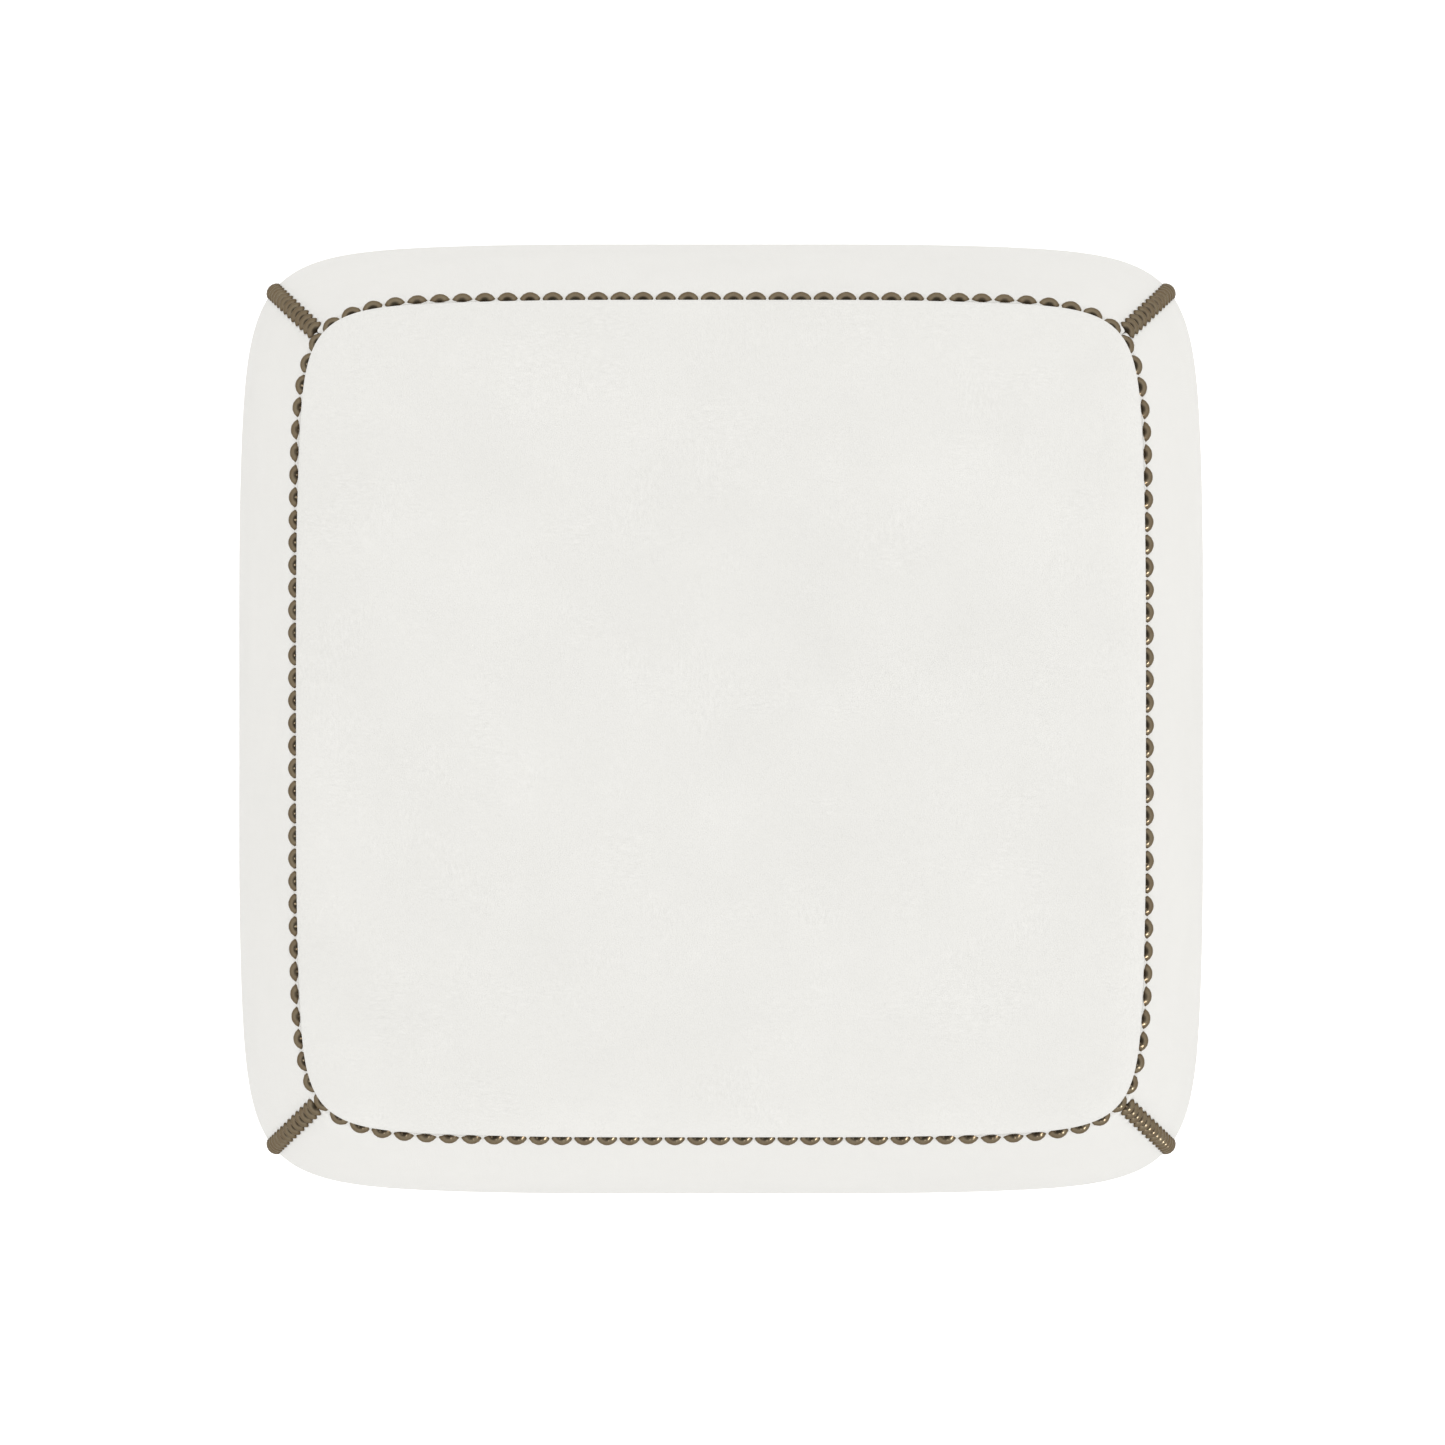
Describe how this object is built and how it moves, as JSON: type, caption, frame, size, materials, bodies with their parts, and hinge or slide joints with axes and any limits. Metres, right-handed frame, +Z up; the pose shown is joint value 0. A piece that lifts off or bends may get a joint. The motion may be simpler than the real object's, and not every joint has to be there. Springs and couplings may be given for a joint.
{
  "type": "upholstered footstool",
  "caption": "Square footstool with barrel sides, a crowned leather top panel, and domed nails round the crease and down each corner seam.",
  "frame": {"origin": "on the floor, under the middle of the footstool", "axes": "+Z up, +Y to the back, the edge at the top of the picture, +X to the right of the picture; the two sides that face X stand a little further apart than the two that face Y"},
  "size_m": [0.561, 0.5522, 0.457],
  "materials": {
    "leather": "off-white finished leather, fine grain, satin",
    "nail_bronze": "antique bronze plated, darkened in the recesses, satin",
    "foam": "cream upholstery foam, open cells",
    "timber": "sawn softwood and plywood, unfinished",
    "board": "thin bent board, unfinished",
    "webbing": "woven jute webbing",
    "dust_cloth": "black non-woven lining cloth",
    "glide_plastic": "moulded plastic, matt"
  },
  "bodies": {
    "root": {"top_cover": "leather", "top_foam": "foam", "side_cover_right": "leather", "side_cover_back": "leather", "side_cover_left": "leather", "side_cover_front": "leather", "side_foam_right": "foam", "side_foam_back": "foam", "side_foam_left": "foam", "side_foam_front": "foam", "side_board_right": "board", "side_board_back": "board", "side_board_left": "board", "side_board_front": "board", "top_rail_right": "timber", "top_rail_back": "timber", "top_rail_left": "timber", "top_rail_front": "timber", "base_rail_right": "timber", "base_rail_back": "timber", "base_rail_left": "timber", "base_rail_front": "timber", "rib_right_a": "timber", "rib_right_b": "timber", "rib_back_a": "timber", "rib_back_b": "timber", "rib_left_a": "timber", "rib_left_b": "timber", "rib_front_a": "timber", "rib_front_b": "timber", "corner_post_back_right": "timber", "corner_post_back_left": "timber", "corner_post_front_left": "timber", "corner_post_front_right": "timber", "glue_block_back_right": "timber", "glue_block_back_left": "timber", "glue_block_front_left": "timber", "glue_block_front_right": "timber", "webbing_x_1": "webbing", "webbing_x_2": "webbing", "webbing_x_3": "webbing", "webbing_x_4": "webbing", "webbing_y_1": "webbing", "webbing_y_2": "webbing", "webbing_y_3": "webbing", "webbing_y_4": "webbing", "dust_cover": "dust_cloth", "glide_back_right": "glide_plastic", "glide_back_left": "glide_plastic", "glide_front_left": "glide_plastic", "glide_front_right": "glide_plastic", "nail_row_right": "nail_bronze", "nail_row_back": "nail_bronze", "nail_row_left": "nail_bronze", "nail_row_front": "nail_bronze", "corner_nails_back_right": "nail_bronze", "corner_nails_back_left": "nail_bronze", "corner_nails_front_left": "nail_bronze", "corner_nails_front_right": "nail_bronze"}
  },
  "joints": []
}
